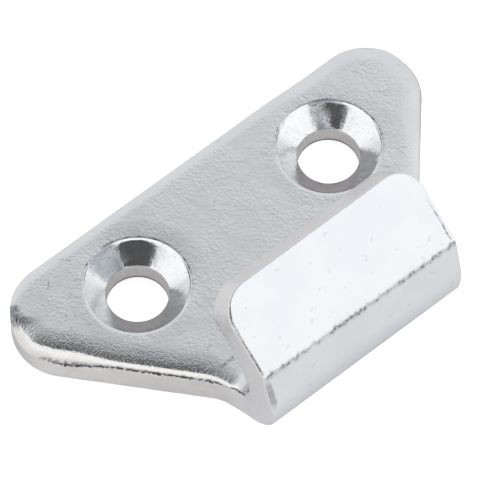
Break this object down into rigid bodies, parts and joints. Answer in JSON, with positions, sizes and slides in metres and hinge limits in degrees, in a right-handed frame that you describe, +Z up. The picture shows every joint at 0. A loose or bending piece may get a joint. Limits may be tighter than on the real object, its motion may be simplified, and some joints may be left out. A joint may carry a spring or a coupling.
{
  "type": "catch plate",
  "caption": "Flat steel plate with a row of countersunk screw holes, narrowing to a neck that is folded up and back over the plate into a wide hook for a toggle latch.",
  "frame": {"origin": "midway between the two screw holes, on the flat underside of the plate", "axes": "+X along the row of screw holes and the long back edge, +Z up out of the plate on the side of the countersinks and the hook, -Y from the holes towards the hook"},
  "size_m": [0.0404, 0.0234, 0.0153],
  "materials": {
    "zinc_plated_steel": "bright zinc plate with a fine orange-peel grain on the rolled faces and polished countersinks"
  },
  "bodies": {
    "root": {"catch_plate": "zinc_plated_steel"}
  },
  "joints": []
}
